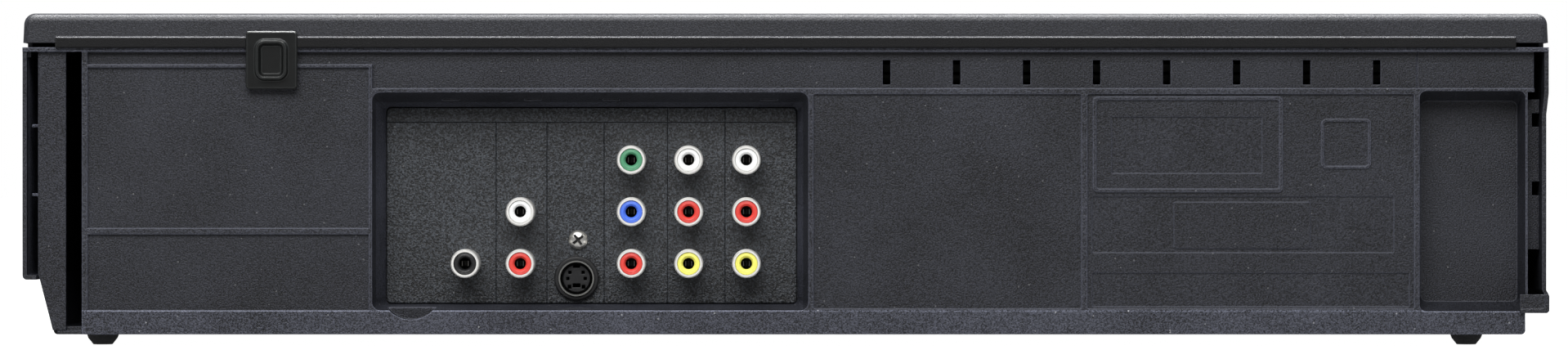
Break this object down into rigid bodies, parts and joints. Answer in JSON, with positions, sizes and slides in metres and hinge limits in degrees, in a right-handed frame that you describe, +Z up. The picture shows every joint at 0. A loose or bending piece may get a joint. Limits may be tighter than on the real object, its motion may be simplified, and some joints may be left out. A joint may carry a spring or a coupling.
{
  "type": "dvd player",
  "caption": "Disc player combined with a cassette recorder: flat box with a jack bay at the back, disc tray, cassette door and buttons in front",
  "frame": {"origin": "centre of the footprint, on the plane the feet stand on", "axes": "+X to the picture's left, +Y out of the jack side, +Z up"},
  "size_m": [0.435, 0.238, 0.095],
  "materials": {
    "body_plastic": "fine grained charcoal moulding",
    "front_plastic": "smooth dark moulding",
    "bay_plastic": "grained dark moulding",
    "bushing_plastic": "smooth dark moulding",
    "foot_rubber": "soft dull rubber",
    "screw_steel": "plated steel",
    "jack_metal": "bright plating",
    "insert_white": "moulded white",
    "insert_red": "moulded red",
    "insert_yellow": "moulded yellow",
    "insert_green": "moulded green",
    "insert_blue": "moulded blue",
    "insert_black": "moulded black",
    "contact_metal": "tinned sheet",
    "window_plastic": "smoked clear moulding",
    "button_plastic": "satin moulding",
    "board_laminate": "green laminate",
    "tray_plastic": "satin moulding",
    "frame_plastic": "moulded",
    "gear_plastic": "acetal",
    "belt_rubber": "smooth rubber",
    "motor_steel": "plated can",
    "sheet_steel": "zinc-plated sheet",
    "pickup_metal": "die cast",
    "turntable_plastic": "moulded",
    "drum_metal": "turned",
    "reel_plastic": "moulded"
  },
  "bodies": {
    "deck": {"top_cover": "body_plastic", "base_pan": "body_plastic", "rear_panel": "body_plastic", "left_side_panel": "body_plastic", "right_side_panel": "body_plastic", "front_panel": "front_plastic", "jack_panel": "bay_plastic", "cord_bushing": "bushing_plastic", "rubber_feet": "foot_rubber", "base_screws": "screw_steel", "jack_panel_screw": "screw_steel", "rca_shells": "jack_metal", "rca_inserts_white": "insert_white", "rca_inserts_red": "insert_red", "rca_inserts_yellow": "insert_yellow", "rca_inserts_green": "insert_green", "rca_inserts_blue": "insert_blue", "rca_inserts_black": "insert_black", "rca_blocks": "insert_black", "svideo_socket": "insert_black", "svideo_insert": "insert_black", "rca_contacts": "contact_metal", "svideo_shield": "contact_metal", "display_window": "window_plastic", "main_board": "board_laminate", "power_board": "board_laminate", "front_board": "board_laminate", "loader_frame": "frame_plastic", "clamp_bridge": "frame_plastic", "loading_belt": "belt_rubber", "loading_motor": "motor_steel", "vcr_chassis": "sheet_steel", "drum_base": "drum_metal"},
    "tray": {"disc_tray": "tray_plastic", "tray_front": "front_plastic"},
    "tray_gear": {"tray_gear": "gear_plastic"},
    "drive_pulley": {"drive_pulley": "gear_plastic"},
    "motor_pulley": {"motor_pulley": "gear_plastic"},
    "traverse": {"traverse_plate": "sheet_steel", "spindle_motor": "motor_steel", "guide_rods": "screw_steel"},
    "turntable": {"turntable": "turntable_plastic"},
    "pickup": {"optical_pickup": "pickup_metal"},
    "sled_gear": {"sled_gear": "gear_plastic"},
    "clamper": {"disc_clamper": "frame_plastic"},
    "door": {"cassette_door": "front_plastic"},
    "slider": {"cassette_slider": "sheet_steel"},
    "basket": {"cassette_basket": "sheet_steel"},
    "drum": {"head_drum": "drum_metal"},
    "capstan": {"capstan": "screw_steel"},
    "pinch_arm": {"pinch_arm": "reel_plastic"},
    "supply_reel": {"supply_reel": "reel_plastic"},
    "take_up_reel": {"take_up_reel": "reel_plastic"},
    "power_button": {"power_button": "button_plastic"},
    "eject_button": {"eject_button": "button_plastic"},
    "record_button": {"record_button": "button_plastic"},
    "open_close_button": {"open_close_button": "button_plastic"},
    "play_button": {"play_button": "button_plastic"},
    "stop_button": {"stop_button": "button_plastic"}
  },
  "joints": [
    {"name": "tray_slide", "type": "slide", "parent": "deck", "child": "tray", "axis": [0, -1, 0], "range_m": [0, 0.14]},
    {"name": "tray_gear_turn", "type": "hinge", "parent": "deck", "child": "tray_gear", "pos_m": [0.0625, -0.092, 0.051], "axis": [0, 0, 1], "range_deg": [0, 803.14]},
    {"name": "drive_pulley_turn", "type": "hinge", "parent": "deck", "child": "drive_pulley", "pos_m": [0.0835, -0.092, 0.051], "axis": [0, 0, 1], "range_deg": [-1605.28, 0]},
    {"name": "motor_pulley_turn", "type": "hinge", "parent": "deck", "child": "motor_pulley", "pos_m": [0.1115, -0.092, 0.0465], "axis": [0, 0, 1], "range_deg": [-4813.85, 0]},
    {"name": "traverse_lift", "type": "slide", "parent": "deck", "child": "traverse", "axis": [0, 0, 1], "range_m": [0, 0.008]},
    {"name": "turntable_spin", "type": "hinge", "parent": "traverse", "child": "turntable", "pos_m": [0.11, -0.04, 0.0547], "axis": [0, 0, 1], "continuous": true},
    {"name": "pickup_slide", "type": "slide", "parent": "traverse", "child": "pickup", "axis": [0, 1, 0], "range_m": [0, 0.036]},
    {"name": "sled_gear_turn", "type": "hinge", "parent": "traverse", "child": "sled_gear", "pos_m": [0.147, 0.004, 0.0489], "axis": [0, 0, 1], "range_deg": [-295.66, 0]},
    {"name": "clamper_spin", "type": "hinge", "parent": "deck", "child": "clamper", "pos_m": [0.11, -0.04, 0.076], "axis": [0, 0, 1], "continuous": true},
    {"name": "cassette_door_hinge", "type": "hinge", "parent": "deck", "child": "door", "pos_m": [-0.1045, -0.1132, 0.0796], "axis": [1, 0, 0], "range_deg": [0, 80], "stiffness_Nm_per_rad": 0.004, "springref_deg": -17.19},
    {"name": "cassette_slide", "type": "slide", "parent": "deck", "child": "slider", "axis": [0, 1, 0], "range_m": [0, 0.03]},
    {"name": "basket_drop", "type": "slide", "parent": "slider", "child": "basket", "axis": [0, 0, -1], "range_m": [0, 0.016]},
    {"name": "drum_spin", "type": "hinge", "parent": "deck", "child": "drum", "pos_m": [-0.1045, 0.044, 0.0236], "axis": [0, -0.1045, 0.9945], "continuous": true},
    {"name": "capstan_spin", "type": "hinge", "parent": "deck", "child": "capstan", "pos_m": [-0.0605, 0.02, 0.0236], "axis": [0, 0, 1], "continuous": true},
    {"name": "pinch_arm_swing", "type": "hinge", "parent": "deck", "child": "pinch_arm", "pos_m": [-0.0385, 0.034, 0.0296], "axis": [0, 0, -1], "range_deg": [0, 18.37]},
    {"name": "supply_reel_spin", "type": "hinge", "parent": "deck", "child": "supply_reel", "pos_m": [-0.1505, -0.035, 0.0246], "axis": [0, 0, 1], "continuous": true},
    {"name": "take_up_reel_spin", "type": "hinge", "parent": "deck", "child": "take_up_reel", "pos_m": [-0.0585, -0.035, 0.0246], "axis": [0, 0, 1], "continuous": true},
    {"name": "power_button_press", "type": "slide", "parent": "deck", "child": "power_button", "axis": [0, 1, 0], "range_m": [0, 0.0008], "stiffness_N_per_m": 600},
    {"name": "eject_button_press", "type": "slide", "parent": "deck", "child": "eject_button", "axis": [0, 1, 0], "range_m": [0, 0.0008], "stiffness_N_per_m": 600},
    {"name": "record_button_press", "type": "slide", "parent": "deck", "child": "record_button", "axis": [0, 1, 0], "range_m": [0, 0.0008], "stiffness_N_per_m": 600},
    {"name": "open_close_button_press", "type": "slide", "parent": "deck", "child": "open_close_button", "axis": [0, 1, 0], "range_m": [0, 0.0008], "stiffness_N_per_m": 600},
    {"name": "play_button_press", "type": "slide", "parent": "deck", "child": "play_button", "axis": [0, 1, 0], "range_m": [0, 0.0008], "stiffness_N_per_m": 600},
    {"name": "stop_button_press", "type": "slide", "parent": "deck", "child": "stop_button", "axis": [0, 1, 0], "range_m": [0, 0.0008], "stiffness_N_per_m": 600}
  ],
  "couplings": [
    {"joint": "tray_gear_turn", "follows": "tray_slide", "rad_per_m": 100},
    {"joint": "drive_pulley_turn", "follows": "tray_slide", "rad_per_m": -200},
    {"joint": "motor_pulley_turn", "follows": "tray_slide", "rad_per_m": -600},
    {"joint": "sled_gear_turn", "follows": "pickup_slide", "rad_per_m": -142.86}
  ]
}
